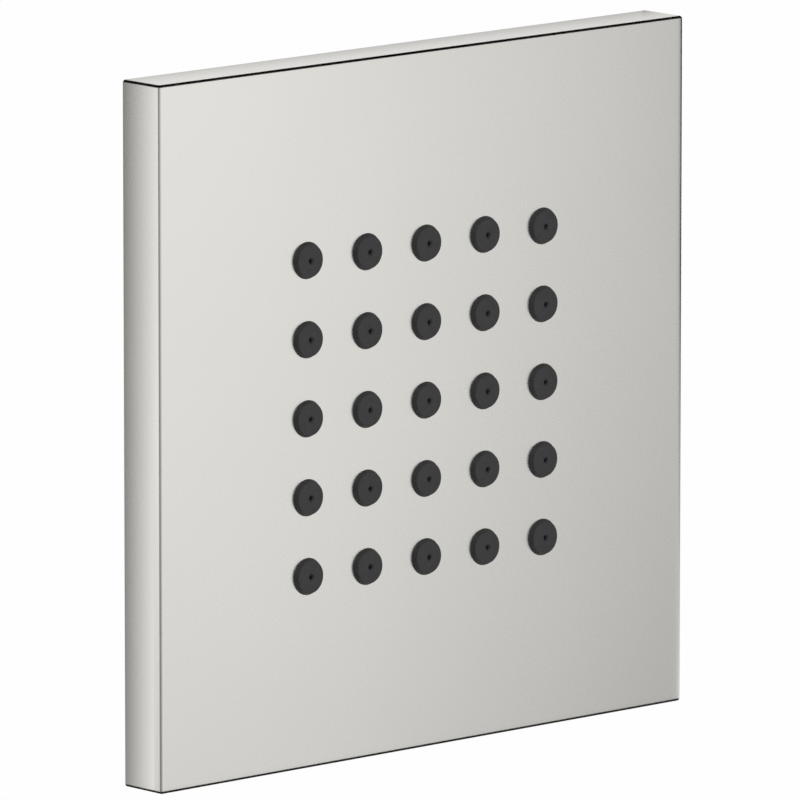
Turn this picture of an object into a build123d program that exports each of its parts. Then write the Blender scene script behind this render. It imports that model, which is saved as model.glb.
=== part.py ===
from build123d import *
import os

# A square, wall-mounted shower body jet. A metal face plate, open at the back, carries a grid of silicone
# nozzles. A moulded cover behind the nozzle mat closes the water chamber, and its spigot plugs into a
# threaded connector in the wall. A pressed bracket on the wall carries the plate on two lugs, and two
# grub screws in the underside lock it.
#
# Millimetres. X runs to the right as seen from the front, Z up and Y into the wall. The origin is the centre
# of the wall plane, which the back of the plate's rim meets. Depths are counted from that plane towards the
# bather, so a depth d is at y = -d, and a negative depth lies inside the wall.

# Face plate
PLATE_SIZE = 120.0
PLATE_DEPTH = 9.2
FACE_WALL = 2.0
RIM_WALL = 2.0
EDGE_RADIUS = 0.55
INNER_CORNER_RADIUS = 2.0

# Nozzle grid
NOZZLE_ROWS = 5
NOZZLE_PITCH = 13.5
NOZZLE_DIAMETER = 5.9
NOZZLE_PROUD = 1.1
OUTLET_DIAMETER = 1.0
NOZZLE_CLEARANCE = 0.1

# Nozzle mat
MAT_THICKNESS = 1.2
MAT_MARGIN = 3.55
MAT_CORNER_RADIUS = 4.0
BEAD_WIDTH = 1.6
BEAD_HEIGHT = 0.8
BEAD_INSET = 0.6
BEAD_CLEARANCE = 0.05

# Chamber cover
CHAMBER_DEPTH = 1.8
COVER_WALL = 2.0
SEAL_LAND = 0.8
SKIRT_WALL = 1.6
SKIRT_CLEARANCE = 0.2
POST_SIDE = 3.0
BACK_RIB_WIDTH = 1.6
BACK_RIB_HEIGHT = 1.2

# Cover screws, the ears that they hold and the bosses that they enter
SCREW_DIAMETER = 3.0
SCREW_LENGTH = 5.6
SCREW_HEAD_DIAMETER = 5.5
SCREW_HEAD_HEIGHT = 1.4
SCREW_CLEARANCE = 0.05
SCREW_TIP_GAP = 0.4
EAR_THICKNESS = 1.6
EAR_WALL = 2.0
EAR_HOLE_CLEARANCE = 0.2
BOSS_DIAMETER = 6.4
BOSS_GAP = 0.4
BOSS_SPREAD = 54.0

# Inlet spigot with its seals, regulator, regulator ring and strainer
SPIGOT_DIAMETER = 15.0
SPIGOT_BORE = 10.0
SPIGOT_REACH = 14.0
SPIGOT_CHAMFER = 0.8
GROOVE_WIDTH = 2.4
GROOVE_DEPTH = 1.35
GROOVE_WALL = 1.2
SEAL_CLEARANCE = 0.05
SEAT_DIAMETER = 12.0
SEAT_CLEARANCE = 0.05
REGULATOR_THICKNESS = 3.0
REGULATOR_BASE = 1.2
REGULATOR_WALL = 1.2
REGULATOR_CORE = 3.6
REGULATOR_PORT = 1.2
RING_WIDTH = 1.5
RING_HEIGHT = 1.4
RING_CLEARANCE = 0.05
STRAINER_THICKNESS = 1.2

# Wall connector with a G1/2 outside thread
CONNECTOR_RECESS = 0.8
COLLAR_STEP = 2.5
COLLAR_LENGTH = 11.2
THREAD_DIAMETER = 20.955
THREAD_LENGTH = 14.0
THREAD_CHAMFER = 1.2
RELIEF_LENGTH = 2.4
RELIEF_DEPTH = 1.4
WASHER_THICKNESS = 1.5
WASHER_CLEARANCE = 0.15
SOCKET_CLEARANCE = 0.05
SOCKET_CHAMFER = 0.6
SOCKET_END_GAP = 0.4
KEY_ACROSS_FLATS = 11.0

# Wall bracket and its gasket
SHEET = 1.2
BEND_RADIUS = 0.8
BRACKET_GAP = 0.6
BRACKET_BAND = 7.0
GUSSET = 18.0
GASKET_THICKNESS = 1.0
WALL_SLOT_INSET = 11.9
WALL_SLOT_WIDTH = 4.5
WALL_SLOT_LENGTH = 9.0
TAB_WIDTH = 14.0
TAB_SPACING = 60.0
TAB_END_GAP = 0.6

# Lugs at the top of the plate, and grub screws at its underside
LUG_WIDTH = 8.0
LUG_THICKNESS = 1.6
LUG_OVERHANG = 1.6
LUG_CLEARANCE = 0.4
GRUB_DIAMETER = 3.0
GRUB_RECESS = 0.3
GRUB_CLEARANCE = 0.05
PAD_WIDTH = 9.0
PAD_HEIGHT = 3.0
PAD_GAP = 0.4

# Depths, from the face back to the wall
FACE_INNER = PLATE_DEPTH - FACE_WALL
NOZZLE_TIP = PLATE_DEPTH + NOZZLE_PROUD
MAT_BACK = FACE_INNER - MAT_THICKNESS
CHAMBER_BACK = MAT_BACK - CHAMBER_DEPTH
COVER_BACK = CHAMBER_BACK - COVER_WALL
EAR_FRONT = COVER_BACK + EAR_THICKNESS
BRACKET_FRONT = GASKET_THICKNESS + SHEET
TAB_END = FACE_INNER - TAB_END_GAP
TAB_MIDDLE = (BRACKET_FRONT + TAB_END) / 2
SPIGOT_END = -SPIGOT_REACH
SEAT_DEPTH = REGULATOR_THICKNESS + STRAINER_THICKNESS + SEAT_CLEARANCE
CONNECTOR_FRONT = -CONNECTOR_RECESS
COLLAR_BACK = CONNECTOR_FRONT - COLLAR_LENGTH
THREAD_END = COLLAR_BACK - THREAD_LENGTH
SOCKET_FLOOR = SPIGOT_END - SOCKET_END_GAP

# Half widths, from the centre outwards
HOLE_RADIUS = NOZZLE_DIAMETER / 2 + NOZZLE_CLEARANCE
GRID_HALF = NOZZLE_PITCH * (NOZZLE_ROWS - 1) / 2
MAT_HALF = GRID_HALF + HOLE_RADIUS + MAT_MARGIN
BEAD_HALF = MAT_HALF - BEAD_INSET
BEAD_RADIUS = MAT_CORNER_RADIUS - BEAD_INSET
CHAMBER_HALF = BEAD_HALF - BEAD_WIDTH - SEAL_LAND
SKIRT_HALF = MAT_HALF + SKIRT_CLEARANCE
COVER_HALF = SKIRT_HALF + SKIRT_WALL
COVER_CORNER_RADIUS = MAT_CORNER_RADIUS + SKIRT_CLEARANCE + SKIRT_WALL
BOSS_OFFSET = COVER_HALF + BOSS_GAP + BOSS_DIAMETER / 2
EAR_RADIUS = SCREW_DIAMETER / 2 + EAR_WALL
RIM_INNER = PLATE_SIZE / 2 - RIM_WALL
BRACKET_HALF = RIM_INNER - BRACKET_GAP
WINDOW_HALF = BRACKET_HALF - BRACKET_BAND
WALL_SLOT_SPACING = 2 * (BRACKET_HALF - WALL_SLOT_INSET)

# Radii about the inlet's axis
SPIGOT_RADIUS = SPIGOT_DIAMETER / 2
GROOVE_RADIUS = SPIGOT_RADIUS - GROOVE_DEPTH
SOCKET_RADIUS = SPIGOT_RADIUS + SOCKET_CLEARANCE
THREAD_RADIUS = THREAD_DIAMETER / 2
COLLAR_RADIUS = THREAD_RADIUS + COLLAR_STEP
SEAT_RADIUS = SEAT_DIAMETER / 2
INSERT_RADIUS = SEAT_RADIUS - SEAT_CLEARANCE
RING_INNER = REGULATOR_CORE / 2 + RING_CLEARANCE
RING_OUTER = RING_INNER + RING_WIDTH

# The two seal grooves lie one behind the other, in front of the regulator's seat
REAR_GROOVE = SPIGOT_END + SEAT_DEPTH + GROOVE_WALL + GROOVE_WIDTH / 2
FRONT_GROOVE = REAR_GROOVE + GROOVE_WIDTH + GROOVE_WALL


def slab(outline, start, end):
    """An outline drawn in X and Z, as a solid between two depths."""
    return extrude(Plane.XZ.offset(start) * outline, end - start)


def turned(points):
    """A solid of revolution about the Y axis, from corners given as radius and depth."""
    corners = [(radius, -depth) for radius, depth in points]
    return revolve(make_face(Polyline(*corners, close=True)), Axis.Y)


def squared(half, radius):
    """A square outline with round corners, given its half width."""
    return RectangleRounded(2 * half, 2 * half, radius)


def grid(count, pitch):
    """The places of a square grid about the centre, as X and Z."""
    steps = [(i - (count - 1) / 2) * pitch for i in range(count)]
    return [(x, z) for x in steps for z in steps]


def screw_places():
    """The X and Z of the cover screws, two at the left and two at the right of the cover."""
    half = BOSS_SPREAD / 2
    return [(x, z) for x in (-BOSS_OFFSET, BOSS_OFFSET) for z in (-half, half)]


def at(places, shape):
    """Copies of a shape, each moved by an X and a Z."""
    return [Pos(x, 0, z) * shape for x, z in places]


def tab_places():
    """The X of the bracket's tabs, which the lugs and grub screws share."""
    return [-TAB_SPACING / 2, TAB_SPACING / 2]


def face_plate():
    block = slab(Rectangle(PLATE_SIZE, PLATE_SIZE), 0, PLATE_DEPTH)
    back_edges = block.faces().sort_by(Axis.Y)[-1].edges()
    plate = fillet(block.edges() - back_edges, EDGE_RADIUS)
    plate -= slab(squared(RIM_INNER, INNER_CORNER_RADIUS), 0, FACE_INNER)
    boss = slab(Circle(BOSS_DIAMETER / 2), EAR_FRONT, FACE_INNER)
    plate += at(screw_places(), boss)
    for x in tab_places():
        plate += lug(x)
        plate += grub_pad(x)
    nozzle_hole = slab(Circle(HOLE_RADIUS), FACE_INNER, PLATE_DEPTH)
    plate -= at(grid(NOZZLE_ROWS, NOZZLE_PITCH), nozzle_hole)
    screw_radius = SCREW_DIAMETER / 2 + SCREW_CLEARANCE
    screw_hole_end = COVER_BACK + SCREW_LENGTH + SCREW_TIP_GAP
    plate -= at(screw_places(), slab(Circle(screw_radius), EAR_FRONT, screw_hole_end))
    grub_radius = GRUB_DIAMETER / 2 + GRUB_CLEARANCE
    for x in tab_places():
        plate -= grub_cylinder(x, grub_radius, -PLATE_SIZE / 2, -RIM_INNER + PAD_HEIGHT)
    return plate


def lug(x):
    """A lug inside the top of the rim, which drops through the slot in a bracket tab."""
    low = WINDOW_HALF - LUG_OVERHANG
    high = RIM_INNER + RIM_WALL / 2
    outline = Pos(x, (low + high) / 2) * Rectangle(LUG_WIDTH, high - low)
    return slab(outline, TAB_MIDDLE - LUG_THICKNESS / 2, TAB_MIDDLE + LUG_THICKNESS / 2)


def grub_pad(x):
    """A thick place inside the bottom of the rim, which takes a grub screw."""
    middle = -RIM_INNER + (PAD_HEIGHT - RIM_WALL / 2) / 2
    outline = Pos(x, middle) * Rectangle(PAD_WIDTH, PAD_HEIGHT + RIM_WALL / 2)
    return slab(outline, BRACKET_FRONT + PAD_GAP, FACE_INNER)


def grub_cylinder(x, radius, low, high):
    """An upright cylinder on a grub screw's axis, between two heights."""
    return Pos(x, -TAB_MIDDLE, low) * extrude(Circle(radius), high - low)


def nozzle_mat():
    mat = slab(squared(MAT_HALF, MAT_CORNER_RADIUS), MAT_BACK, FACE_INNER)
    bead = squared(BEAD_HALF, BEAD_RADIUS)
    bead -= squared(BEAD_HALF - BEAD_WIDTH, BEAD_RADIUS - BEAD_WIDTH)
    mat += slab(bead, MAT_BACK - BEAD_HEIGHT, MAT_BACK)
    nozzle = slab(Circle(NOZZLE_DIAMETER / 2), FACE_INNER, NOZZLE_TIP)
    outlet = slab(Circle(OUTLET_DIAMETER / 2), MAT_BACK, NOZZLE_TIP)
    places = grid(NOZZLE_ROWS, NOZZLE_PITCH)
    mat += at(places, nozzle)
    mat -= at(places, outlet)
    return mat


def chamber_cover():
    skirt_front = FACE_INNER - SKIRT_CLEARANCE
    cover = slab(squared(COVER_HALF, COVER_CORNER_RADIUS), COVER_BACK, skirt_front)
    ear = slab(Circle(EAR_RADIUS), COVER_BACK, EAR_FRONT)
    cover += at(screw_places(), ear)
    for z in (-BOSS_SPREAD / 2, BOSS_SPREAD / 2):
        web = Pos(0, z) * Rectangle(2 * BOSS_OFFSET, 2 * EAR_RADIUS)
        cover += slab(web, COVER_BACK, EAR_FRONT)
    cover -= slab(squared(SKIRT_HALF, MAT_CORNER_RADIUS + SKIRT_CLEARANCE), MAT_BACK, skirt_front)
    groove = squared(BEAD_HALF + BEAD_CLEARANCE, BEAD_RADIUS + BEAD_CLEARANCE)
    groove -= squared(BEAD_HALF - BEAD_WIDTH - BEAD_CLEARANCE, BEAD_RADIUS - BEAD_WIDTH)
    cover -= slab(groove, MAT_BACK - BEAD_HEIGHT - BEAD_CLEARANCE, MAT_BACK)
    chamber = slab(squared(CHAMBER_HALF, BEAD_RADIUS - BEAD_WIDTH), CHAMBER_BACK, MAT_BACK)
    post = slab(Rectangle(POST_SIDE, POST_SIDE), CHAMBER_BACK, MAT_BACK)
    cover -= chamber
    cover += at(grid(NOZZLE_ROWS - 1, NOZZLE_PITCH), post)
    cover += back_ribs()
    cover += spigot()
    cover -= slab(Circle(SPIGOT_BORE / 2), SPIGOT_END, CHAMBER_BACK)
    cover -= slab(Circle(SEAT_RADIUS), SPIGOT_END, SPIGOT_END + SEAT_DEPTH)
    hole_radius = SCREW_DIAMETER / 2 + EAR_HOLE_CLEARANCE
    cover -= at(screw_places(), slab(Circle(hole_radius), COVER_BACK, EAR_FRONT))
    return cover


def back_ribs():
    """Stiffening ribs on the cover's back: a ring of four and a cross through the spigot."""
    back = COVER_BACK - BACK_RIB_HEIGHT
    span = 2 * CHAMBER_HALF
    cross = Rectangle(span, BACK_RIB_WIDTH) + Rectangle(BACK_RIB_WIDTH, span)
    ring = squared(CHAMBER_HALF, MAT_CORNER_RADIUS)
    ring -= squared(CHAMBER_HALF - BACK_RIB_WIDTH, MAT_CORNER_RADIUS - BACK_RIB_WIDTH)
    diagonal = Rotation(0, 0, 45) * cross
    return slab(ring + cross + diagonal, back, COVER_BACK)


def spigot():
    radius = SPIGOT_RADIUS
    profile = [(0, COVER_BACK), (radius, COVER_BACK)]
    for groove in (FRONT_GROOVE, REAR_GROOVE):
        front = groove + GROOVE_WIDTH / 2
        back = groove - GROOVE_WIDTH / 2
        profile += [(radius, front), (GROOVE_RADIUS, front), (GROOVE_RADIUS, back), (radius, back)]
    profile += [(radius, SPIGOT_END + SPIGOT_CHAMFER), (radius - SPIGOT_CHAMFER, SPIGOT_END)]
    profile += [(0, SPIGOT_END)]
    return turned(profile)


def cover_screws():
    """Four separate pan-head screws."""
    head_back = COVER_BACK - SCREW_HEAD_HEIGHT
    screw = slab(Circle(SCREW_HEAD_DIAMETER / 2), head_back, COVER_BACK)
    screw += slab(Circle(SCREW_DIAMETER / 2), COVER_BACK, COVER_BACK + SCREW_LENGTH)
    return Compound(children=at(screw_places(), screw))


def spigot_seal(groove):
    """A seal ring as it sits in its groove, squeezed flat by the socket's wall."""
    inner = GROOVE_RADIUS + SEAL_CLEARANCE
    outer = SOCKET_RADIUS - SEAL_CLEARANCE
    front = groove + GROOVE_WIDTH / 2 - SEAL_CLEARANCE
    back = groove - GROOVE_WIDTH / 2 + SEAL_CLEARANCE
    return turned([(inner, front), (outer, front), (outer, back), (inner, back)])


def flow_regulator():
    """A cup with a core for the ring, and four ports in its base between the ring and the cup's wall."""
    front = SPIGOT_END + SEAT_DEPTH
    back = front - REGULATOR_THICKNESS
    base_back = front - REGULATOR_BASE
    cup_radius = INSERT_RADIUS - REGULATOR_WALL
    regulator = slab(Circle(INSERT_RADIUS), back, front)
    regulator -= slab(Circle(cup_radius) - Circle(REGULATOR_CORE / 2), back, base_back)
    offset = (RING_OUTER + cup_radius) / 2
    port = slab(Rectangle(REGULATOR_PORT, REGULATOR_PORT), base_back, front)
    regulator -= at([(offset, 0), (-offset, 0), (0, offset), (0, -offset)], port)
    return regulator


def regulator_ring():
    """The soft ring on the regulator's base, which spreads towards the ports as the pressure rises."""
    base_back = SPIGOT_END + SEAT_DEPTH - REGULATOR_BASE
    return slab(Circle(RING_OUTER) - Circle(RING_INNER), base_back - RING_HEIGHT, base_back)


def strainer():
    front = SPIGOT_END + SEAT_DEPTH - REGULATOR_THICKNESS
    return slab(Circle(INSERT_RADIUS), front - STRAINER_THICKNESS, front)


def wall_connector():
    relief = THREAD_RADIUS - RELIEF_DEPTH
    connector = turned([
        (0, CONNECTOR_FRONT),
        (COLLAR_RADIUS, CONNECTOR_FRONT),
        (COLLAR_RADIUS, COLLAR_BACK),
        (relief, COLLAR_BACK),
        (relief, COLLAR_BACK - RELIEF_LENGTH),
        (THREAD_RADIUS, COLLAR_BACK - RELIEF_LENGTH),
        (THREAD_RADIUS, THREAD_END + THREAD_CHAMFER),
        (THREAD_RADIUS - THREAD_CHAMFER, THREAD_END),
        (0, THREAD_END),
    ])
    connector -= turned([
        (0, CONNECTOR_FRONT),
        (SOCKET_RADIUS + SOCKET_CHAMFER, CONNECTOR_FRONT),
        (SOCKET_RADIUS, CONNECTOR_FRONT - SOCKET_CHAMFER),
        (SOCKET_RADIUS, SOCKET_FLOOR),
        (0, SOCKET_FLOOR),
    ])
    key = RegularPolygon(KEY_ACROSS_FLATS / 2, 6, major_radius=False)
    connector -= slab(key, THREAD_END, SOCKET_FLOOR)
    return connector


def thread_washer():
    """The flat washer that seals the collar against the wall fitting."""
    ring = Circle(COLLAR_RADIUS) - Circle(THREAD_RADIUS + WASHER_CLEARANCE)
    return slab(ring, COLLAR_BACK - WASHER_THICKNESS, COLLAR_BACK)


def frame_outline():
    """The outline that the bracket and its gasket share: a square frame with gussets in its corners."""
    window = Rectangle(2 * WINDOW_HALF, 2 * WINDOW_HALF)
    window = chamfer(window.vertices(), GUSSET)
    slots = Sketch() + [
        Pos(x, z) * SlotOverall(WALL_SLOT_LENGTH, WALL_SLOT_WIDTH) for x, z in grid(2, WALL_SLOT_SPACING)
    ]
    return squared(BRACKET_HALF, INNER_CORNER_RADIUS) - window - slots


def wall_bracket():
    bracket = slab(frame_outline(), GASKET_THICKNESS, BRACKET_FRONT)
    for x in tab_places():
        bracket += bracket_tab(x)
        bracket += Rot(0, 180, 0) * bracket_tab(x)
    slot = Rectangle(LUG_WIDTH + 2 * LUG_CLEARANCE, LUG_THICKNESS + 2 * LUG_CLEARANCE)
    for x in tab_places():
        bracket -= Pos(x, -TAB_MIDDLE, WINDOW_HALF - SHEET) * extrude(slot, 2 * SHEET + BEND_RADIUS)
    return bracket


def bracket_tab(x):
    """A tab folded forwards from the upper edge of the bracket's window."""
    outer = BEND_RADIUS + SHEET
    foot = WINDOW_HALF + outer
    profile = [
        Line((-GASKET_THICKNESS, foot), (-GASKET_THICKNESS - SHEET, foot)),
        RadiusArc((-BRACKET_FRONT, foot), (-BRACKET_FRONT - BEND_RADIUS, foot - BEND_RADIUS), BEND_RADIUS),
        Line((-BRACKET_FRONT - BEND_RADIUS, foot - BEND_RADIUS), (-TAB_END, foot - BEND_RADIUS)),
        Line((-TAB_END, foot - BEND_RADIUS), (-TAB_END, WINDOW_HALF)),
        Line((-TAB_END, WINDOW_HALF), (-GASKET_THICKNESS - outer, WINDOW_HALF)),
        RadiusArc((-GASKET_THICKNESS - outer, WINDOW_HALF), (-GASKET_THICKNESS, foot), -outer),
    ]
    section = Plane.YZ.offset(x - TAB_WIDTH / 2) * make_face(profile)
    return extrude(section, TAB_WIDTH)


def grub_screws():
    """Two separate grub screws, with their points against the bracket's lower tabs."""
    low = -PLATE_SIZE / 2 + GRUB_RECESS
    high = -WINDOW_HALF - SHEET - GRUB_CLEARANCE
    return Compound(children=[grub_cylinder(x, GRUB_DIAMETER / 2, low, high) for x in tab_places()])


def wall_gasket():
    return slab(frame_outline(), 0, GASKET_THICKNESS)


def main():
    parts = {
        "face_plate": face_plate(),
        "nozzle_mat": nozzle_mat(),
        "chamber_cover": chamber_cover(),
        "cover_screws": cover_screws(),
        "spigot_seal_front": spigot_seal(FRONT_GROOVE),
        "spigot_seal_rear": spigot_seal(REAR_GROOVE),
        "flow_regulator": flow_regulator(),
        "regulator_ring": regulator_ring(),
        "strainer": strainer(),
        "wall_connector": wall_connector(),
        "thread_washer": thread_washer(),
        "wall_bracket": wall_bracket(),
        "grub_screws": grub_screws(),
        "wall_gasket": wall_gasket(),
    }
    os.makedirs("parts", exist_ok=True)
    for name, shape in parts.items():
        export_step(shape, f"parts/{name}.step")


main()
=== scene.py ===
"""The looks of a square shower body jet: a satin steel plate with a grid of black silicone nozzles.

Metres, in the frame of the solids: X to the right as seen from the front, Y into the wall, Z up. Lengths are
written in millimetres and turned into metres by MM.
"""

import math

import bmesh
import bpy
from mathutils import Matrix, Vector


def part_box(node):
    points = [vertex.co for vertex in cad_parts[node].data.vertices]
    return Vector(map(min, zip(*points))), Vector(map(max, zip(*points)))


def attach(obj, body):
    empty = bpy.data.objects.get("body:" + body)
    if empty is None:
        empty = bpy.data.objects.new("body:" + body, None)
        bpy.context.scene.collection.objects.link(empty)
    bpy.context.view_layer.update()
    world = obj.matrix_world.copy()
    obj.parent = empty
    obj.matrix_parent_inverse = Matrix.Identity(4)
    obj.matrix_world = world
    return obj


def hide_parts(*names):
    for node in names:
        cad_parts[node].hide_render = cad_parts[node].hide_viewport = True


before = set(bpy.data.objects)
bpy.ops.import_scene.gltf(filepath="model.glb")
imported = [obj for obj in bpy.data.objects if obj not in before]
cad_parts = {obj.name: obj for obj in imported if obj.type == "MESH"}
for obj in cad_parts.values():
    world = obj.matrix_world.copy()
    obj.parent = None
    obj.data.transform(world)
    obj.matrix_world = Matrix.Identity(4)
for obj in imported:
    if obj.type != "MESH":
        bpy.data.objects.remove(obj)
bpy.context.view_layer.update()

MM = 0.001
BODY = "root"

# Places taken from the solids
PLATE_LOW, PLATE_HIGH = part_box("face_plate")
FRONT = PLATE_LOW.y
PLATE_HALF = PLATE_HIGH.x

# Camera, solved from the photograph's perspective
AZIMUTH = math.radians(-42.364)
ELEVATION = math.radians(9.945)
CAMERA_DISTANCE = 2.23
LENS = 592.7
SENSOR = 36.0
CLIP_START, CLIP_END = 0.1, 100.0
AIM = Vector((-5.93 * MM, FRONT, 0.72 * MM))

# Floor, far below because the jet hangs on a wall
FLOOR_DROP = 300 * MM
FLOOR_HALF = 12.0
FLOOR_WHITE = 0.99

# Softboxes in front of the plate, which its face mirrors. Their light falls off by powers of plate widths.
SOFTBOX_DISTANCE = 0.22
SOFTBOX_INNER = 0.11
SOFTBOX_OUTER = 0.3
SOFTBOX_TOP = 0.17
SOFTBOX_BOTTOM = 0.3
SOFTBOX_LEVEL = 1.133
SOFTBOX_DARKEST = 0.45
OUT_FALL, OUT_POWER = 0.379, 1.33
DOWN_FALL, DOWN_POWER = 0.154, 1.61
RIGHT_SOFTBOX_SHARE = 1.0
LEFT_SOFTBOX_SHARE = 0.64

# Narrow cards behind the plate's sides and its top, with levels as the two ends of a range
CARD_BEHIND = 2 * MM
SIDE_CARD_NEAR = 0.8 * MM
SIDE_CARD_WIDTH = 16 * MM
SIDE_CARD_ABOVE = 1 * MM
SIDE_CARD_BELOW = 30 * MM
SIDE_CARD_ACROSS = (0.2, 2.08)
SIDE_CARD_UPWARD = (1.04, 0.87)
SIDE_CARD_BRIGHTEST = 1.29
TOP_CARD_HEIGHT = 5 * MM
TOP_CARD_LEFT_INSET = 2 * MM
TOP_CARD_RIGHT_REACH = 25 * MM
TOP_CARD_ACROSS = (1.0, 0.84)
TOP_CARD_UPWARD = (0.6, 1.42)

# Dark strips and a film along the plate's edges: their gap to it, and how far each reaches past an edge or
# inside it
STRIP_GAP = 0.5 * MM
STRIP_RIGHT_REACH = 2.0 * MM
TOP_STRIP_AHEAD, TOP_STRIP_INSET = 2.4 * MM, 1.1 * MM
TOP_LEFT_REACH, TOP_LEFT_INSET, TOP_LEFT_BEHIND = 2.6 * MM, 1.0 * MM, 2.4 * MM
BOTTOM_STRIP_AHEAD, BOTTOM_STRIP_INSET = 2.2 * MM, 1.5 * MM
BOTTOM_LEFT_REACH, BOTTOM_LEFT_INSET, BOTTOM_LEFT_BEHIND = 1.8 * MM, 1.6 * MM, 1.5 * MM
RIGHT_STRIP_AHEAD, RIGHT_STRIP_HALF = 0.18 * MM, 1.12 * MM
RIGHT_STRIP_UPWARD = (0.9, -0.5)
LEFT_FILM_INSET, LEFT_FILM_HALF = 1.3 * MM, 1.05 * MM
LEFT_FILM_SHADE = (0.34, 0.12)

# Grey flags that the upper edges mirror
FLAG_DISTANCE = 0.5
FLAG_HALF = 0.42
FLAG_LEVEL = 0.45

# Mesh work: how near points are joined, and the angles that count as flat, smooth or an edge, in degrees
WELD = 0.001 * MM
FLAT_WITHIN = 0.5
EDGE_FROM = 25
SMOOTH_BELOW = 35
MAT_SMOOTH_BELOW = 50
WIRE_SMOOTH_BELOW = 60
ROUND_STEPS = 4
SCREW_SIDES = 36
RING_SIDES = 96
SMALL_RING_SIDES = 48
STRAINER_SIDES = 72
CONNECTOR_SIDES = 120

# Rounds on the edges of the solids that are shown as they are
EDGE_ROUNDS = {
    "face_plate": 0.07 * MM,
    "chamber_cover": 0.15 * MM,
    "flow_regulator": 0.12 * MM,
    "wall_bracket": 0.12 * MM,
    "wall_gasket": 0.1 * MM,
}
EDGE_ROUND_SEGMENTS = 2
LARGE_FACE_WEIGHT = 100

# Nozzle mat
NOZZLE_ROWS = 5
NOZZLE_PITCH = 13.5 * MM
NOZZLE_FOOT = 3.0 * MM
NOZZLE_LIP = 3.18 * MM
NOZZLE_LIP_HEIGHT = 0.05 * MM
NOZZLE_TIP = 2.88 * MM
NOZZLE_EDGE = 0.28 * MM
NOZZLE_EDGE_STEPS = 5
NOZZLE_CROWN = 0.2 * MM
NOZZLE_CROWN_STEPS = 4
CELL_SIDE_STEPS = 12
OUTLET_MOUTH = 0.68 * MM
OUTLET_MOUTH_DEPTH = 0.34 * MM
OUTLET_RADIUS = 0.3 * MM
OUTLET_FUNNEL = 1.4 * MM
FACE_WALL = 2.0 * MM
MAT_THICKNESS = 1.2 * MM
MAT_CORNER = 4.0 * MM
MAT_EDGE = 0.15 * MM
BEAD_INSET = 0.6 * MM
BEAD_WIDTH = 1.6 * MM
BEAD_EDGE = 0.6 * MM

# Threads, with the share of a pitch that is flat at the root and at the crest
SCREW_RADIUS = 1.5 * MM
SCREW_PITCH = 0.5 * MM
SCREW_THREAD_DEPTH = 0.3 * MM
SCREW_THREAD_ROWS = 8
PIPE_RADIUS = 10.4775 * MM
PIPE_PITCH = 1.814 * MM
PIPE_THREAD_DEPTH = 1.162 * MM
PIPE_THREAD_ROWS = 14
THREAD_FLAT = 0.12

# Cover screws: the head, its lobed recess and the shank's tip
HEAD_RADIUS = 2.75 * MM
HEAD_HEIGHT = 1.4 * MM
HEAD_CHAMFER = 0.1 * MM
HEAD_ROUND = 0.5 * MM
HEAD_ROUND_DROP = 0.15 * MM
HEAD_ROUND_STEPS = 5
HEAD_TOP_DROP = 0.12 * MM
KEY_RADIUS = 1.15 * MM
KEY_LOBE = 0.2 * MM
KEY_LOBES = 6
KEY_MARGIN = 0.1 * MM
KEY_DEPTH = 0.9 * MM
KEY_POINT_RADIUS = 0.3 * MM
KEY_POINT_DEPTH = 0.25 * MM
SCREW_TIP_CHAMFER = 0.4 * MM

# Grub screws: the hexagon socket at one end and the cup point at the other
GRUB_KEY_FLATS = 1.5 * MM
GRUB_KEY_SIDES = 6
GRUB_KEY_DEPTH = 1.6 * MM
GRUB_MOUTH_SHARE = 1.25
GRUB_POINT_RADIUS = 0.2 * MM
GRUB_POINT_DEPTH = 0.3 * MM
GRUB_SOCKET_CHAMFER = 0.35 * MM
GRUB_CUP_CHAMFER = 0.55 * MM
GRUB_CUP_RADIUS = 0.55 * MM
GRUB_CUP_FLOOR = 0.15 * MM
GRUB_CUP_DEPTH = 0.35 * MM

# Wall connector
COLLAR_BACK = 12.0 * MM
RELIEF_LENGTH = 2.4 * MM
RELIEF_DEPTH = 1.4 * MM
RELIEF_END = 0.3 * MM
CONNECTOR_EDGE = 0.35 * MM
PIPE_CHAMFER = 1.2 * MM
CONNECTOR_KEY_FLATS = 11.0 * MM
CONNECTOR_KEY_SIDES = 6
CONNECTOR_KEY_MARGIN = 0.25 * MM
SOCKET_RADIUS = 7.55 * MM
SOCKET_FLOOR = 14.4 * MM
SOCKET_CHAMFER = 0.6 * MM

# Rings, as inner radii and the rounding of their sections
SEAL_INNER, SEAL_ROUND = 6.2 * MM, 0.55 * MM
RING_INNER, RING_ROUND = 1.85 * MM, 0.6 * MM
WASHER_INNER, WASHER_ROUND = 10.6275 * MM, 0.2 * MM

# Strainer
STRAINER_RIM = 0.9 * MM
STRAINER_EDGE = 0.25 * MM
WIRE_RADIUS = 0.13 * MM
WIRE_PITCH = 0.75 * MM
WIRE_SIDES = 6
WIRE_STEPS = 6


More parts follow.
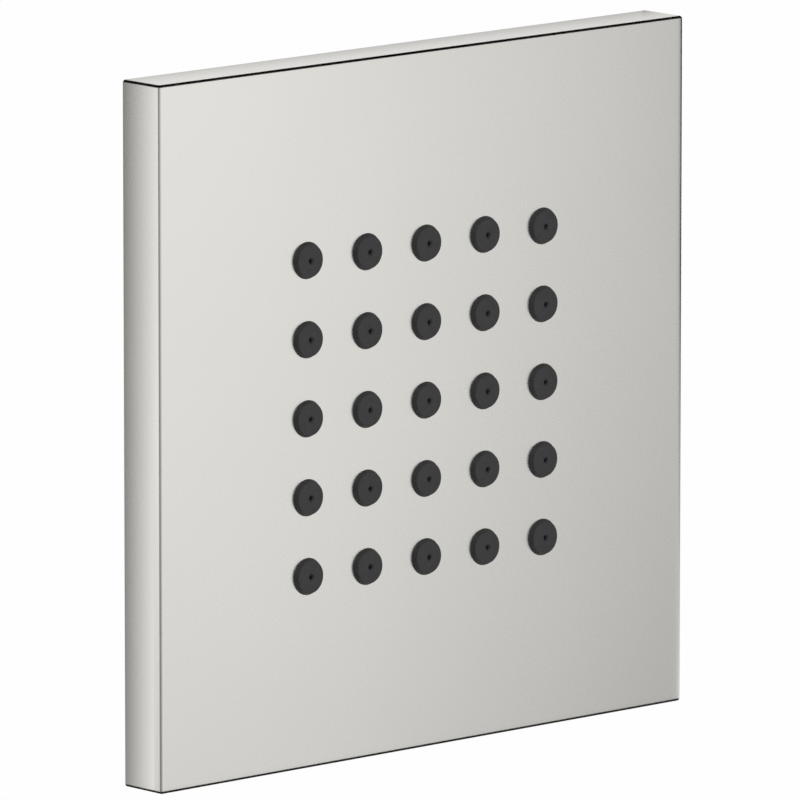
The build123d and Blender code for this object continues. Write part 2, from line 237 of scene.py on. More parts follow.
class Graph:
    """A short way to write a node tree."""

    def __init__(self, owner):
        owner.use_nodes = True
        self.tree = owner.node_tree
        self.tree.nodes.clear()

    def add(self, kind, settings=None, **inputs):
        """A new node with its settings and inputs. An underscore stands for a space in an input's name."""
        node = self.tree.nodes.new(kind)
        for name, value in (settings or {}).items():
            setattr(node, name, value)
        for name, value in inputs.items():
            self.put(node.inputs[name.replace("_", " ")], value)
        return node

    def put(self, socket, value):
        """Links a socket to another, or sets its value."""
        if isinstance(value, bpy.types.NodeSocket):
            self.tree.links.new(value, socket)
        else:
            socket.default_value = value

    def math(self, operation, first, second=0.0):
        node = self.add("ShaderNodeMath", {"operation": operation})
        self.put(node.inputs[0], first)
        self.put(node.inputs[1], second)
        return node.outputs[0]

    def position(self):
        return self.add("ShaderNodeTexCoord").outputs["Object"]

    def axes(self, vector):
        return self.add("ShaderNodeSeparateXYZ", Vector=vector).outputs

    def vector(self, x, y, z):
        return self.add("ShaderNodeCombineXYZ", X=x, Y=y, Z=z).outputs[0]

    def stretched(self, vector, scale):
        return self.add("ShaderNodeMapping", Vector=vector, Scale=scale).outputs[0]

    def noise(self, vector, scale, detail=2.0):
        return self.add("ShaderNodeTexNoise", Vector=vector, Scale=scale, Detail=detail).outputs["Fac"]

    def cells(self, vector, scale):
        return self.add("ShaderNodeTexVoronoi", Vector=vector, Scale=scale).outputs["Distance"]

    def spread(self, value, low, high):
        """Maps a value between 0 and 1 to a range, which may run downwards."""
        return self.add("ShaderNodeMapRange", Value=value, To_Min=low, To_Max=high).outputs["Result"]

    def tint(self, value, dark, light):
        """A colour between two, by a value between a third and two thirds, as noise gives it."""
        ramp = self.add("ShaderNodeValToRGB", Fac=value)
        for element, place, colour in zip(ramp.color_ramp.elements, (0.35, 0.65), (dark, light)):
            element.position = place
            element.color = (*colour, 1.0)
        return ramp.outputs["Color"]

    def bump(self, height, strength, distance):
        node = self.add("ShaderNodeBump", Height=height, Strength=strength, Distance=distance)
        return node.outputs["Normal"]

    def surface(self, metallic, colour, roughness, normal):
        """Ends a material with a shader."""
        shader = self.add("ShaderNodeBsdfPrincipled", Metallic=metallic)
        self.put(shader.inputs["Base Color"], colour)
        self.put(shader.inputs["Roughness"], roughness)
        self.put(shader.inputs["Normal"], normal)
        self.finish(shader)

    def card_place(self):
        """Places across and up a card, each from 0 to 1."""
        return self.axes(self.add("ShaderNodeTexCoord").outputs["UV"])

    def glow(self, level):
        """Ends a material with an even white light of a level that may vary over the surface."""
        self.finish(self.add("ShaderNodeEmission", Strength=level))

    def veil(self, share):
        """Ends a material with a clear film that lets through a share of the light."""
        self.finish(self.add("ShaderNodeBsdfTransparent", Color=share))

    def finish(self, shader):
        """Links a shader to the material's output."""
        out = self.add("ShaderNodeOutputMaterial")
        self.tree.links.new(shader.outputs[0], out.inputs["Surface"])


def material(name):
    mat = bpy.data.materials.new(name)
    return mat, Graph(mat)


def satin_metal():
    """Satin steel: a faint cloud in the colour, and a grain of about a tenth of a millimetre."""
    mat, g = material("satin_metal")
    place = g.position()
    cloud = g.noise(place, 22.0, 3.0)
    grain = g.noise(place, 9000.0)
    g.surface(
        1.0,
        g.tint(cloud, (0.704, 0.690, 0.659), (0.719, 0.705, 0.674)),
        g.spread(g.math("ADD", g.math("MULTIPLY", grain, 0.6), g.math("MULTIPLY", cloud, 0.4)), 0.24, 0.3),
        g.bump(grain, 0.05, 0.01 * MM),
    )
    return mat


def black_silicone():
    """Matt moulded silicone with a fine mottle."""
    mat, g = material("black_silicone")
    mottle = g.noise(g.position(), 1400.0, 3.0)
    g.surface(
        0.0,
        g.tint(mottle, (0.014, 0.014, 0.015), (0.02, 0.02, 0.021)),
        g.spread(mottle, 0.52, 0.64),
        g.bump(mottle, 0.15, 0.02 * MM),
    )
    return mat


def grey_plastic():
    """Moulded plastic with the fine eroded texture of its mould, and faint flow clouds."""
    mat, g = material("grey_plastic")
    place = g.position()
    flow = g.noise(place, 60.0, 3.0)
    texture = g.noise(place, 4200.0, 3.0)
    g.surface(
        0.0,
        g.tint(flow, (0.185, 0.19, 0.195), (0.215, 0.22, 0.225)),
        g.spread(texture, 0.38, 0.52),
        g.bump(texture, 0.35, 0.03 * MM),
    )
    return mat


def white_plastic():
    """Smooth moulded plastic, slightly cloudy."""
    mat, g = material("white_plastic")
    flow = g.noise(g.position(), 260.0, 3.0)
    g.surface(
        0.0,
        g.tint(flow, (0.74, 0.74, 0.71), (0.8, 0.8, 0.78)),
        g.spread(flow, 0.3, 0.4),
        g.bump(flow, 0.1, 0.02 * MM),
    )
    return mat


def rubber():
    """Black seal rubber with a dusty bloom."""
    mat, g = material("seal_rubber")
    bloom = g.noise(g.position(), 700.0, 4.0)
    g.surface(
        0.0,
        g.tint(bloom, (0.014, 0.014, 0.014), (0.026, 0.026, 0.027)),
        g.spread(bloom, 0.42, 0.6),
        g.bump(bloom, 0.15, 0.02 * MM),
    )
    return mat


def brass():
    """Brass from a lathe: fine rings about the inlet's axis, and a slow stain over them."""
    mat, g = material("brass")
    place = g.position()
    x, y, z = g.axes(place)
    radius = g.math("SQRT", g.math("ADD", g.math("MULTIPLY", x, x), g.math("MULTIPLY", z, z)))
    rings = g.noise(g.vector(radius, y, 0.0), 7000.0)
    stain = g.noise(place, 160.0, 4.0)
    g.surface(
        1.0,
        g.tint(stain, (0.66, 0.48, 0.21), (0.76, 0.57, 0.28)),
        g.spread(rings, 0.2, 0.34),
        g.bump(rings, 0.25, 0.015 * MM),
    )
    return mat


def sheet_steel():
    """Rolled sheet: a long grain along X, with a slow cloud."""
    mat, g = material("sheet_steel")
    place = g.position()
    grain = g.noise(g.stretched(place, (120.0, 5200.0, 5200.0)), 1.0, 3.0)
    cloud = g.noise(place, 70.0, 3.0)
    g.surface(
        1.0,
        g.tint(cloud, (0.5, 0.5, 0.495), (0.57, 0.57, 0.56)),
        g.spread(grain, 0.26, 0.44),
        g.bump(grain, 0.2, 0.015 * MM),
    )
    return mat


def screw_steel():
    """Plain steel with a fine grain."""
    mat, g = material("screw_steel")
    grain = g.noise(g.position(), 2600.0, 3.0)
    g.surface(
        1.0,
        g.tint(grain, (0.5, 0.495, 0.485), (0.6, 0.595, 0.585)),
        g.spread(grain, 0.22, 0.36),
        g.bump(grain, 0.1, 0.01 * MM),
    )
    return mat


def mesh_steel():
    """Drawn wire, a little dull."""
    mat, g = material("mesh_steel")
    grain = g.noise(g.position(), 3800.0)
    g.surface(
        1.0,
        g.tint(grain, (0.46, 0.46, 0.46), (0.56, 0.56, 0.555)),
        g.spread(grain, 0.28, 0.4),
        g.bump(grain, 0.1, 0.01 * MM),
    )
    return mat


def fibre():
    """Pressed red-brown fibre with lighter strands."""
    mat, g = material("fibre")
    place = g.position()
    strands = g.noise(g.stretched(place, (600.0, 2600.0, 900.0)), 1.0, 4.0)
    g.surface(
        0.0,
        g.tint(strands, (0.13, 0.03, 0.018), (0.26, 0.075, 0.045)),
        g.spread(strands, 0.62, 0.82),
        g.bump(strands, 0.4, 0.04 * MM),
    )
    return mat


def foam_rubber():
    """Closed-cell foam: small open pits where its cells are cut."""
    mat, g = material("foam_rubber")
    place = g.position()
    cells = g.cells(place, 1500.0)
    mottle = g.noise(place, 300.0, 3.0)
    g.surface(
        0.0,
        g.tint(mottle, (0.02, 0.02, 0.021), (0.034, 0.034, 0.035)),
        g.spread(cells, 0.95, 0.75),
        g.bump(cells, 0.6, 0.12 * MM),
    )
    return mat


class Shell:
    """The points and faces of one piece, built up loop by loop."""

    def __init__(self):
        self.points = []
        self.faces = []

    def loop(self, points):
        """Adds points and returns their numbers."""
        start = len(self.points)
        self.points += [tuple(point) for point in points]
        return list(range(start, len(self.points)))

    def bridge(self, first, second):
        """Quads between two closed loops with as many points."""
        for i in range(len(first)):
            self.faces.append((first[i - 1], first[i], second[i], second[i - 1]))

    def skin(self, loops):
        """Quads from each loop to the next."""
        for first, second in zip(loops, loops[1:]):
            self.bridge(first, second)

    def lid(self, loop):
        """One face that closes a loop."""
        self.faces.append(tuple(loop))


def spin(shell, stations, count, place=None):
    """Loops about the Y axis at stations of radius and height, each a number or a function of the angle."""
    loops = []
    for radius, height in stations:
        points = []
        for i in range(count):
            angle = 2 * math.pi * i / count
            reach = radius(angle) if callable(radius) else radius
            level = height(angle) if callable(height) else height
            point = Vector((reach * math.cos(angle), level, reach * math.sin(angle)))
            points.append(place @ point if place else point)
        loops.append(shell.loop(points))
    shell.skin(loops)
    return loops


def rounded(corners, steps=ROUND_STEPS):
    """A closed outline of corners, each with its place and its rounding, with arcs at the corners."""
    outline = []
    for i, (x, y, rounding) in enumerate(corners):
        here = Vector((x, y))
        if rounding == 0:
            outline.append((x, y))
            continue
        before = (Vector(corners[i - 1][:2]) - here).normalized()
        after = (Vector(corners[(i + 1) % len(corners)][:2]) - here).normalized()
        half = before.angle(after) / 2
        centre = here + (before + after).normalized() * rounding / math.sin(half)
        start = here + before * rounding / math.tan(half) - centre
        end = here + after * rounding / math.tan(half) - centre
        first = math.atan2(start.y, start.x)
        turn = (math.atan2(end.y, end.x) - first + math.pi) % (2 * math.pi) - math.pi
        for k in range(steps + 1):
            angle = first + turn * k / steps
            outline.append((centre.x + rounding * math.cos(angle), centre.y + rounding * math.sin(angle)))
    return outline


def polygon(flats, sides):
    """The radius of a regular polygon as a function of the angle, from its width across flats."""
    step = 2 * math.pi / sides

    def radius(angle):
        return flats / 2 / math.cos(angle % step - step / 2)

    return radius


def lobed(middle, lobe, count):
    """The radius of a lobed key recess as a function of the angle."""
    return lambda angle: middle + lobe * math.cos(count * angle)


def countersunk(key, mouth, face, inward):
    """Stations of a key recess's mouth: a circle on the face, and the edge where its cone meets the key."""
    return [(mouth, face), (key, lambda angle: face + inward * (mouth - key(angle)))]


def helix(crest, depth, pitch, height, limit):
    """The radius of a round-crested thread at one height as a function of the angle, up to a limit."""

    def radius(angle):
        phase = (height / pitch - angle / (2 * math.pi)) % 1.0
        rise = (2 * abs(phase - 0.5) - THREAD_FLAT) / (1 - 2 * THREAD_FLAT)
        rise = min(max(rise, 0.0), 1.0)
        return min(crest - depth + depth * rise * rise * (3 - 2 * rise), limit)

    return radius


def thread_rows(crest, depth, pitch, start, end, start_chamfer, end_chamfer, rows_per_turn):
    """Stations of a thread between two heights, chamfered down to its root at each end."""
    count = math.ceil(abs(end - start) / pitch * rows_per_turn)
    rows = []
    for i in range(count + 1):
        height = start + (end - start) * i / count
        limit = crest
        if abs(height - start) < start_chamfer:
            limit = min(limit, crest - start_chamfer + abs(height - start))
        if abs(end - height) < end_chamfer:
            limit = min(limit, crest - end_chamfer + abs(end - height))
        rows.append((helix(crest, depth, pitch, height, limit), height))
    return rows


def piece(node, shell, mat, smooth_below=SMOOTH_BELOW):
    """Turns a shell into the piece that is shown for a node."""
    mesh = bpy.data.meshes.new(node + "_shown")
    mesh.from_pydata(shell.points, [], shell.faces)
    work = bmesh.new()
    work.from_mesh(mesh)
    bmesh.ops.remove_doubles(work, verts=work.verts, dist=WELD)
    bmesh.ops.recalc_face_normals(work, faces=work.faces)
    work.to_mesh(mesh)
    work.free()
    mesh.shade_smooth()
    mesh.set_sharp_from_angle(angle=math.radians(smooth_below))
    return show(node, mesh, mat)


def show(node, mesh, mat):
    """Puts a mesh in the scene in place of a node's solid."""
    mesh.materials.clear()
    mesh.materials.append(mat)
    obj = bpy.data.objects.new(node + "_shown", mesh)
    bpy.context.collection.objects.link(obj)
    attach(obj, BODY)
    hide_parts(node)
    return obj


def softened(node, mat):
    """The solid itself with its flat faces whole and its sharp edges broken by a small round."""
    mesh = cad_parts[node].data.copy()
    work = bmesh.new()
    work.from_mesh(mesh)
    bmesh.ops.remove_doubles(work, verts=work.verts, dist=WELD)
    bmesh.ops.dissolve_limit(work, angle_limit=math.radians(FLAT_WITHIN), verts=work.verts, edges=work.edges)
    work.to_mesh(mesh)
    work.free()
    mesh.shade_smooth()
    obj = show(node, mesh, mat)
    edges = obj.modifiers.new("edges", "BEVEL")
    edges.width = EDGE_ROUNDS[node]
    edges.segments = EDGE_ROUND_SEGMENTS
    edges.limit_method = "ANGLE"
    edges.angle_limit = math.radians(EDGE_FROM)
    edges.use_clamp_overlap = True
    normals = obj.modifiers.new("normals", "WEIGHTED_NORMAL")
    normals.weight = LARGE_FACE_WEIGHT
    normals.keep_sharp = True
    return obj


def rounded_square(half, corner, places):
    """Points round a square with round corners, from places between -1 and 1 along a plain square's side."""
    plain = [(a, -1.0) for a in places] + [(1.0, a) for a in places]
    plain += [(-a, 1.0) for a in places] + [(-1.0, -a) for a in places]
    flat = half - corner
    points = []
    for a, b in plain:
        spot = Vector((a, b)) * half
        if abs(spot.x) > flat and abs(spot.y) > flat:
            middle = Vector((math.copysign(flat, a), math.copysign(flat, b)))
            spot = middle + (spot - middle).normalized() * corner
        points.append((spot.x, spot.y))
    return points


def nozzle_profile(mat_front, mat_back, tip):
    """Stations of one nozzle from the mat's front, over its tip and through its outlet to the mat's back."""
    crown_foot = tip + NOZZLE_CROWN
    stations = [(NOZZLE_FOOT, mat_front), (NOZZLE_FOOT, FRONT), (NOZZLE_LIP, FRONT - NOZZLE_LIP_HEIGHT)]
    for k in range(NOZZLE_EDGE_STEPS + 1):
        angle = math.pi / 2 * k / NOZZLE_EDGE_STEPS
        stations.append((
            NOZZLE_TIP - NOZZLE_EDGE * (1 - math.cos(angle)),
            crown_foot + NOZZLE_EDGE * (1 - math.sin(angle)),
        ))
    edge = NOZZLE_TIP - NOZZLE_EDGE
    for k in range(1, NOZZLE_CROWN_STEPS + 1):
        share = k / NOZZLE_CROWN_STEPS
        radius = edge + (OUTLET_MOUTH - edge) * share
        stations.append((radius, tip + NOZZLE_CROWN * (1 - share) ** 2))
    stations += [(OUTLET_RADIUS, tip + OUTLET_MOUTH_DEPTH), (OUTLET_RADIUS, mat_front)]
    return stations + [(OUTLET_FUNNEL, mat_back)]


def nozzle_mat(mat):
    """One moulding: a cell for each nozzle, and round them a border with the sealing bead on its back."""
    shell = Shell()
    low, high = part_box("nozzle_mat")
    mat_front = FRONT + FACE_WALL
    mat_back = mat_front + MAT_THICKNESS
    profile = nozzle_profile(mat_front, mat_back, low.y)
    field = high.x - BEAD_INSET - BEAD_WIDTH - MAT_EDGE
    lines = [-field] + [(i - NOZZLE_ROWS / 2) * NOZZLE_PITCH for i in range(1, NOZZLE_ROWS)] + [field]
    for column in range(NOZZLE_ROWS):
        for row in range(NOZZLE_ROWS):
            nozzle_cell(shell, lines[column:column + 2], lines[row:row + 2], profile)
    outer = high.x
    bead_back = high.y
    bead_outer = outer - BEAD_INSET
    bead_inner = bead_outer - BEAD_WIDTH
    section = rounded([
        (outer, mat_front, MAT_EDGE),
        (outer, mat_back, MAT_EDGE),
        (bead_outer, mat_back, MAT_EDGE),
        (bead_outer, bead_back, BEAD_EDGE),
        (bead_inner, bead_back, BEAD_EDGE),
        (bead_inner, mat_back, MAT_EDGE),
    ])
    loops = []
    places = [place / field for a, b in zip(lines, lines[1:]) for place in steps_between(a, b)]
    for half, height in [(field, mat_front)] + section + [(field, mat_back)]:
        corner = max(MAT_CORNER - (outer - half), 0.0) if half > field else 0.0
        outline = rounded_square(half, corner, places)
        loops.append(shell.loop([(x, height, z) for x, z in outline]))
    shell.skin(loops)
    return piece("nozzle_mat", shell, mat, MAT_SMOOTH_BELOW)


def steps_between(start, end):
    """Even steps along a cell's side, without its end."""
    return [start + (end - start) * i / CELL_SIDE_STEPS for i in range(CELL_SIDE_STEPS)]


def nozzle_cell(shell, across, up, profile):
    """One cell of the mat: a rectangle on the front, the nozzle, and the rectangle on the back."""
    centre = Vector((row_between(across), row_between(up)))
    left, right = across
    low, high = up
    outline = [(x, low) for x in steps_between(left, right)]
    outline += [(right, z) for z in steps_between(low, high)]
    outline += [(x, high) for x in steps_between(right, left)]
    outline += [(left, z) for z in steps_between(high, low)]
    angles = [math.atan2(z - centre.y, x - centre.x) for x, z in outline]
    loops = [shell.loop([(x, profile[0][1], z) for x, z in outline])]
    for radius, height in profile:
        loops.append(shell.loop([
            (centre.x + radius * math.cos(a), height, centre.y + radius * math.sin(a)) for a in angles
        ]))
    loops.append(shell.loop([(x, profile[-1][1], z) for x, z in outline]))
    shell.skin(loops)


def row_between(lines):
    """The nozzle row that lies between two cell lines."""
    return round(sum(lines) / 2 / NOZZLE_PITCH) * NOZZLE_PITCH


def cover_screws(mat):
    """Four pan-head screws, each with a lobed recess in its head and a thread on its shank."""
    shell = Shell()
    low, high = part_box("cover_screws")
    seat = high.y - HEAD_HEIGHT
    x = high.x - HEAD_RADIUS
    z = high.z - HEAD_RADIUS
    key = lobed(KEY_RADIUS, KEY_LOBE, KEY_LOBES)
    mouth = KEY_RADIUS + KEY_LOBE + KEY_MARGIN
    key_floor = high.y - KEY_DEPTH
    head = [(SCREW_RADIUS, seat), (HEAD_RADIUS - HEAD_CHAMFER, seat), (HEAD_RADIUS, seat + HEAD_CHAMFER)]
    for k in range(HEAD_ROUND_STEPS):
        angle = math.pi / 2 * k / HEAD_ROUND_STEPS
        head.append((
            HEAD_RADIUS - HEAD_ROUND * (1 - math.cos(angle)),
            high.y - HEAD_ROUND_DROP - HEAD_ROUND * (1 - math.sin(angle)),
        ))
    head += [(HEAD_RADIUS - HEAD_ROUND, high.y - HEAD_TOP_DROP)]
    head += countersunk(key, mouth, high.y, -1)
    head += [(key, key_floor), (KEY_POINT_RADIUS, key_floor - KEY_POINT_DEPTH)]
    shank = thread_rows(
        SCREW_RADIUS, SCREW_THREAD_DEPTH, SCREW_PITCH, seat, low.y, 0.0, SCREW_TIP_CHAMFER, SCREW_THREAD_ROWS
    )
    for side in (-1, 1):
        for end in (-1, 1):
            place = Matrix.Translation((side * x, 0, end * z))
            loops = spin(shell, list(reversed(shank)) + head, SCREW_SIDES, place)
            shell.lid(loops[0])
            shell.lid(loops[-1])
    return piece("cover_screws", shell, mat)


def grub_screws(mat):
    """Two grub screws with a hexagon socket at the bottom and a cup point at the top."""
    shell = Shell()
    low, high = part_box("grub_screws")
    middle = (low.y + high.y) / 2
    x = high.x - SCREW_RADIUS
    key = polygon(GRUB_KEY_FLATS, GRUB_KEY_SIDES)
    mouth = GRUB_KEY_FLATS / 2 * GRUB_MOUTH_SHARE
    key_floor = low.z + GRUB_KEY_DEPTH
    socket = [(GRUB_POINT_RADIUS, key_floor + GRUB_POINT_DEPTH), (key, key_floor)]
    socket += reversed(countersunk(key, mouth, low.z, 1))
    rows = thread_rows(
        SCREW_RADIUS, SCREW_THREAD_DEPTH, SCREW_PITCH, low.z, high.z,
        GRUB_SOCKET_CHAMFER, GRUB_CUP_CHAMFER, SCREW_THREAD_ROWS,
    )
    cup = [(GRUB_CUP_RADIUS, high.z), (GRUB_CUP_FLOOR, high.z - GRUB_CUP_DEPTH)]
    for side in (-1, 1):
        place = Matrix.Translation((side * x, middle, 0)) @ Matrix.Rotation(math.pi / 2, 4, "X")
        loops = spin(shell, socket + rows + cup, SCREW_SIDES, place)
        shell.lid(loops[0])
        shell.lid(loops[-1])
    return piece("grub_screws", shell, mat)


def ring(shell, node, inner, rounding, count):
    """A ring with a rounded section, between an inner radius and the outside of a node's solid."""
    low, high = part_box(node)
    corners = ((inner, low.y), (high.x, low.y), (high.x, high.y), (inner, high.y))
    loops = spin(shell, rounded([(*corner, rounding) for corner in corners]), count)
    shell.bridge(loops[-1], loops[0])


def ring_piece(node, inner, rounding, mat, count=RING_SIDES):
    """A seal or washer, which is a ring and nothing more."""
    shell = Shell()
    ring(shell, node, inner, rounding, count)
    return piece(node, shell, mat)


def wall_connector(mat):
    """The brass connector: collar, relief groove, pipe thread, hexagon bore for its key, and socket."""
    shell = Shell()
    low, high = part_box("wall_connector")
    collar = high.x
    relief = PIPE_RADIUS - RELIEF_DEPTH
    thread_start = COLLAR_BACK + RELIEF_LENGTH
    edge = CONNECTOR_EDGE
    corner = edge * (1 - math.sqrt(0.5))
    key = polygon(CONNECTOR_KEY_FLATS, CONNECTOR_KEY_SIDES)
    key_mouth = CONNECTOR_KEY_FLATS / 2 / math.cos(math.pi / CONNECTOR_KEY_SIDES) + CONNECTOR_KEY_MARGIN
    stations = [
        (collar - edge, low.y), (collar - corner, low.y + corner), (collar, low.y + edge),
        (collar, COLLAR_BACK - edge), (collar - corner, COLLAR_BACK - corner), (collar - edge, COLLAR_BACK),
        (relief + edge, COLLAR_BACK), (relief + corner, COLLAR_BACK + corner), (relief, COLLAR_BACK + edge),
        (relief, thread_start - RELIEF_END),
    ]
    stations += thread_rows(
        PIPE_RADIUS, PIPE_THREAD_DEPTH, PIPE_PITCH, thread_start, high.y,
        PIPE_THREAD_DEPTH, PIPE_CHAMFER, PIPE_THREAD_ROWS,
    )
    stations += countersunk(key, key_mouth, high.y, -1)
    stations += [
        (key, SOCKET_FLOOR), (SOCKET_RADIUS, SOCKET_FLOOR),
        (SOCKET_RADIUS, low.y + SOCKET_CHAMFER), (SOCKET_RADIUS + SOCKET_CHAMFER, low.y),
    ]
    loops = spin(shell, stations, CONNECTOR_SIDES)
    shell.bridge(loops[-1], loops[0])
    return piece("wall_connector", shell, mat)


def strainer(mat):
    """A woven wire disc in a pressed rim."""
    shell = Shell()
    low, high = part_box("strainer")
    inner = high.x - STRAINER_RIM
    ring(shell, "strainer", inner, STRAINER_EDGE, STRAINER_SIDES)
    middle = (low.y + high.y) / 2
    reach = inner + STRAINER_RIM / 2
    count = int(inner / WIRE_PITCH)
    for i in range(-count, count + 1):
        offset = i * WIRE_PITCH
        half = math.sqrt(reach**2 - offset**2)
        for axis in (0, 1):
            wire(shell, offset, half, middle, axis, 1 if (i + axis) % 2 else -1)
    return piece("strainer", shell, mat, WIRE_SMOOTH_BELOW)


def wire(shell, offset, half, middle, axis, side):
    """One wire of the weave, over and under the wires that cross it."""
    steps = math.ceil(2 * half / WIRE_PITCH * WIRE_STEPS)
    loops = []
    for k in range(steps + 1):
        along = -half + 2 * half * k / steps
        height = middle + side * WIRE_RADIUS * math.cos(math.pi * along / WIRE_PITCH)
        points = []
        for j in range(WIRE_SIDES):
            angle = 2 * math.pi * j / WIRE_SIDES
            across = offset + WIRE_RADIUS * math.cos(angle)
            spot = (along, across) if axis == 0 else (across, along)
            points.append((spot[0], height + WIRE_RADIUS * math.sin(angle), spot[1]))
        loops.append(shell.loop(points))
    shell.skin(loops)
    shell.lid(loops[0])
    shell.lid(loops[-1])


def camera_back():
    """The direction from the object to the camera."""
    level = math.cos(ELEVATION)
    return Vector((math.sin(AZIMUTH) * level, -math.cos(AZIMUTH) * level, math.sin(ELEVATION)))


def camera():
    data = bpy.data.cameras.new("camera")
    data.lens = LENS
    data.sensor_width = SENSOR
    data.clip_start = CLIP_START
    data.clip_end = CLIP_END
    obj = bpy.data.objects.new("camera", data)
    bpy.context.collection.objects.link(obj)
    obj.location = AIM + camera_back() * CAMERA_DISTANCE
    obj.rotation_mode = "QUATERNION"
    obj.rotation_quaternion = (-camera_back()).to_track_quat("-Z", "Y")
    bpy.context.scene.camera = obj


def mirrored(normal):
    """Where a ray from the camera goes after a mirror with this normal."""
    n = Vector(normal).normalized()
    return 2 * camera_back().dot(n) * n - camera_back()


def white_world():
    world = bpy.data.worlds.new("studio")
    bpy.context.scene.world = world
    g = Graph(world)
    background = g.add("ShaderNodeBackground", Color=(1.0, 1.0, 1.0, 1.0), Strength=1.0)
    out = g.add("ShaderNodeOutputWorld")
    g.tree.links.new(background.outputs[0], out.inputs["Surface"])


def quad(name, centre, u, v):
    """A flat rectangle about a centre, with its half sides u and v."""
    mesh = bpy.data.meshes.new(name)
    corners = [centre - u - v, centre + u - v, centre + u + v, centre - u + v]
    mesh.from_pydata([tuple(c) for c in corners], [], [(0, 1, 2, 3)])
    uv = mesh.uv_layers.new(name="UVMap")
    for loop, place in zip(uv.data, ((0, 0), (1, 0), (1, 1), (0, 1))):
        loop.uv = place
    obj = bpy.data.objects.new(name, mesh)
    bpy.context.collection.objects.link(obj)
    return obj


def floor():
    """A white floor, clear when it is seen from below."""
    centre = Vector((0, 0, PLATE_LOW.z - FLOOR_DROP))
    obj = quad("floor", centre, Vector((FLOOR_HALF, 0, 0)), Vector((0, FLOOR_HALF, 0)))
    mat, g = material("floor_white")
    white = g.add("ShaderNodeBsdfDiffuse", Color=(FLOOR_WHITE, FLOOR_WHITE, FLOOR_WHITE, 1.0))
    clear = g.add("ShaderNodeBsdfTransparent")
    below = g.add("ShaderNodeNewGeometry").outputs["Backfacing"]
    mix = g.add("ShaderNodeMixShader", Fac=below)
    g.tree.links.new(white.outputs[0], mix.inputs[1])
    g.tree.links.new(clear.outputs[0], mix.inputs[2])
    g.finish(mix)
    obj.data.materials.append(mat)


def card(name, centre, u, v, level=None):
    """A studio card that shows only in reflections. Without a level, its graph still needs a shader."""
    obj = quad(name, centre, u, v)
    mat, g = material(name)
    obj.data.materials.append(mat)
    obj.visible_camera = False
    obj.visible_diffuse = False
    obj.visible_transmission = False
    obj.visible_volume_scatter = False
    obj.visible_shadow = False
    if level is not None:
        g.glow(level)
    return g


def card_axes(direction):
    """Sideways and upward axes of a card that faces back along a direction."""
    side = Vector((0, 0, 1)).cross(direction).normalized()
    return side, direction.cross(side).normalized()


def flag(name, direction):
    """A square grey card of one even level, seen from the object in one direction."""
    side, up = card_axes(direction)
    centre = Vector((0, FRONT, 0)) + direction * FLAG_DISTANCE
    card(name, centre, side * FLAG_HALF, up * FLAG_HALF, FLAG_LEVEL)


def softbox(name, side, share):
    """A large card before one side, which the face mirrors to the other, darker outwards and downwards."""
    width = SOFTBOX_INNER + SOFTBOX_OUTER
    height = SOFTBOX_TOP + SOFTBOX_BOTTOM
    direction = mirrored((0, -1, 0))
    direction.x *= side
    outward, up = card_axes(direction)
    outward *= side
    centre = Vector((0, FRONT, 0)) + direction * SOFTBOX_DISTANCE
    centre += outward * (SOFTBOX_OUTER - SOFTBOX_INNER) / 2 + up * (SOFTBOX_TOP - SOFTBOX_BOTTOM) / 2
    g = card(name, centre, outward * width / 2, up * height / 2)
    across, upward, _ = g.card_place()
    # Plate widths from the plate's upper corner on the far side, outwards and downwards
    plate = 2 * PLATE_HALF
    out = g.math("SUBTRACT", g.math("MULTIPLY", across, width), SOFTBOX_INNER)
    out = g.math("DIVIDE", out, math.cos(AZIMUTH) * plate)
    out = g.math("MAXIMUM", g.math("ADD", out, 0.5), 0.0)
    down = g.math("MULTIPLY", g.math("SUBTRACT", 1.0, upward), height / plate)
    down = g.math("MAXIMUM", g.math("SUBTRACT", down, (SOFTBOX_TOP - PLATE_HALF) / plate), 0.0)
    out_loss = g.math("MULTIPLY", g.math("POWER", out, OUT_POWER), OUT_FALL)
    down_loss = g.math("MULTIPLY", g.math("POWER", down, DOWN_POWER), DOWN_FALL)
    level = g.math("SUBTRACT", g.math("SUBTRACT", SOFTBOX_LEVEL, out_loss), down_loss)
    g.glow(g.math("MULTIPLY", g.math("MAXIMUM", level, SOFTBOX_DARKEST), share))


def side_card(name, side):
    """A narrow card beside one side of the plate, dark near the plate and a little darker at the top."""
    half = SIDE_CARD_WIDTH / 2
    top = PLATE_HALF + SIDE_CARD_ABOVE
    bottom = PLATE_HALF + SIDE_CARD_BELOW
    centre = Vector((side * (PLATE_HALF + SIDE_CARD_NEAR + half), CARD_BEHIND, (top - bottom) / 2))
    g = card(name, centre, Vector((side * half, 0, 0)), Vector((0, 0, (top + bottom) / 2)))
    across, upward, _ = g.card_place()
    level = g.math("MULTIPLY", g.spread(across, *SIDE_CARD_ACROSS), g.spread(upward, *SIDE_CARD_UPWARD))
    g.glow(g.math("MINIMUM", level, SIDE_CARD_BRIGHTEST))


def top_card():
    """A low card behind the top edge, darker near the plate and to the right, that shades the top face."""
    half = TOP_CARD_HEIGHT / 2
    left = PLATE_HALF - TOP_CARD_LEFT_INSET
    right = PLATE_HALF + TOP_CARD_RIGHT_REACH
    centre = Vector(((right - left) / 2, CARD_BEHIND, PLATE_HALF + half))
    g = card("top_card", centre, Vector(((right + left) / 2, 0, 0)), Vector((0, 0, half)))
    across, upward, _ = g.card_place()
    g.glow(g.math("MULTIPLY", g.spread(upward, *TOP_CARD_UPWARD), g.spread(across, *TOP_CARD_ACROSS)))


def level_strip(name, x, y, z):
    """A black level strip between two places in x and in y."""
    centre = Vector((sum(x) / 2, sum(y) / 2, z))
    card(name, centre, Vector(((x[1] - x[0]) / 2, 0, 0)), Vector((0, (y[1] - y[0]) / 2, 0)), 0.0)


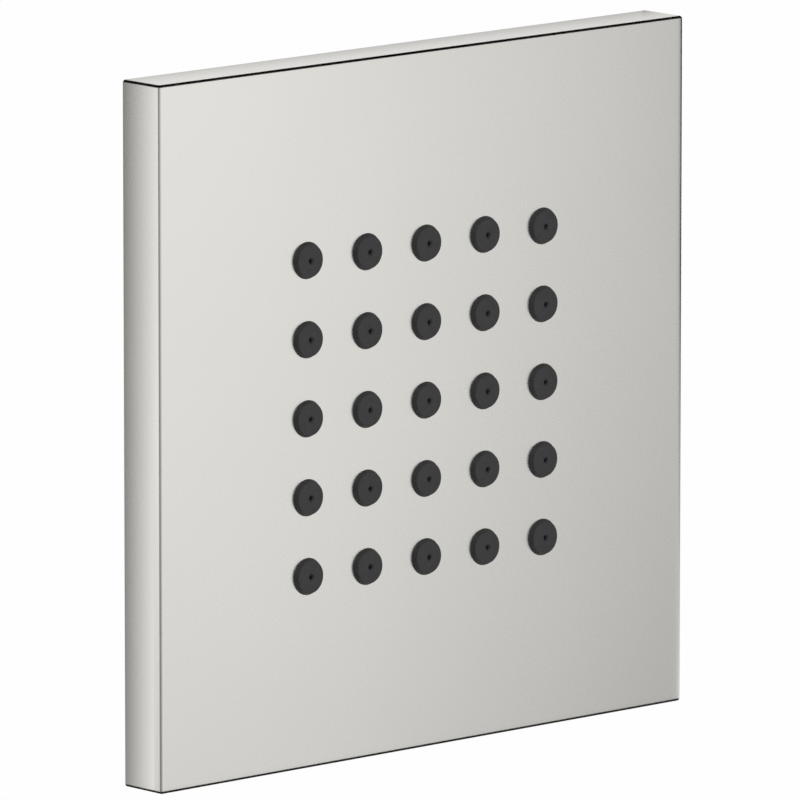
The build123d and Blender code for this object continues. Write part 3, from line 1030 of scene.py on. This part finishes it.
def edge_strips():
    """Dark strips close to the plate's edges, which the round edges mirror as thin dark lines."""
    left = -PLATE_HALF
    right = PLATE_HALF + STRIP_RIGHT_REACH
    top = PLATE_HALF + STRIP_GAP
    top_ahead = FRONT - TOP_STRIP_AHEAD
    level_strip("top_front_strip", (left, right), (top_ahead, FRONT + TOP_STRIP_INSET), top)
    top_left = (left - TOP_LEFT_REACH, left + TOP_LEFT_INSET)
    level_strip("top_left_strip", top_left, (top_ahead, TOP_LEFT_BEHIND), top)
    bottom = -PLATE_HALF - STRIP_GAP
    bottom_front = (FRONT - BOTTOM_STRIP_AHEAD, FRONT + BOTTOM_STRIP_INSET)
    level_strip("bottom_front_strip", (left - BOTTOM_LEFT_REACH, right), bottom_front, bottom)
    bottom_left = (left - BOTTOM_LEFT_REACH, left + BOTTOM_LEFT_INSET)
    level_strip("bottom_left_strip", bottom_left, (FRONT, BOTTOM_LEFT_BEHIND), bottom)
    # The right edge's line fades out downwards
    centre = Vector((PLATE_HALF + STRIP_GAP, FRONT - RIGHT_STRIP_AHEAD, 0))
    g = card("front_right_strip", centre, Vector((0, RIGHT_STRIP_HALF, 0)), Vector((0, 0, PLATE_HALF)))
    _, upward, _ = g.card_place()
    g.glow(g.math("MAXIMUM", g.spread(upward, *RIGHT_STRIP_UPWARD), 0.0))
    # The left edge's line widens downwards into a faint wedge on the side
    centre = Vector((left - STRIP_GAP, FRONT + LEFT_FILM_INSET, -PLATE_HALF / 2))
    g = card("front_left_film", centre, Vector((0, LEFT_FILM_HALF, 0)), Vector((0, 0, PLATE_HALF / 2)))
    across, upward, _ = g.card_place()
    shade = g.math("MULTIPLY", g.spread(across, *LEFT_FILM_SHADE), g.spread(upward, 1.0, 0.0))
    g.veil(g.math("SUBTRACT", 1.0, shade))


def stage():
    white_world()
    floor()
    softbox("right_softbox", 1, RIGHT_SOFTBOX_SHARE)
    softbox("left_softbox", -1, LEFT_SOFTBOX_SHARE)
    side_card("left_card", -1)
    side_card("right_card", 1)
    top_card()
    edge_strips()
    flag("right_top_flag", mirrored((0, -1, 1)))
    flag("back_top_flag", mirrored((-1, 0, 1)))


def object_pieces():
    steel = screw_steel()
    seal = rubber()
    softened("face_plate", satin_metal())
    nozzle_mat(black_silicone())
    softened("chamber_cover", grey_plastic())
    cover_screws(steel)
    ring_piece("spigot_seal_front", SEAL_INNER, SEAL_ROUND, seal)
    ring_piece("spigot_seal_rear", SEAL_INNER, SEAL_ROUND, seal)
    softened("flow_regulator", white_plastic())
    ring_piece("regulator_ring", RING_INNER, RING_ROUND, seal, SMALL_RING_SIDES)
    strainer(mesh_steel())
    wall_connector(brass())
    ring_piece("thread_washer", WASHER_INNER, WASHER_ROUND, fibre())
    softened("wall_bracket", sheet_steel())
    grub_screws(steel)
    softened("wall_gasket", foam_rubber())


camera()
stage()
object_pieces()
bpy.context.scene.view_settings.view_transform = "Standard"
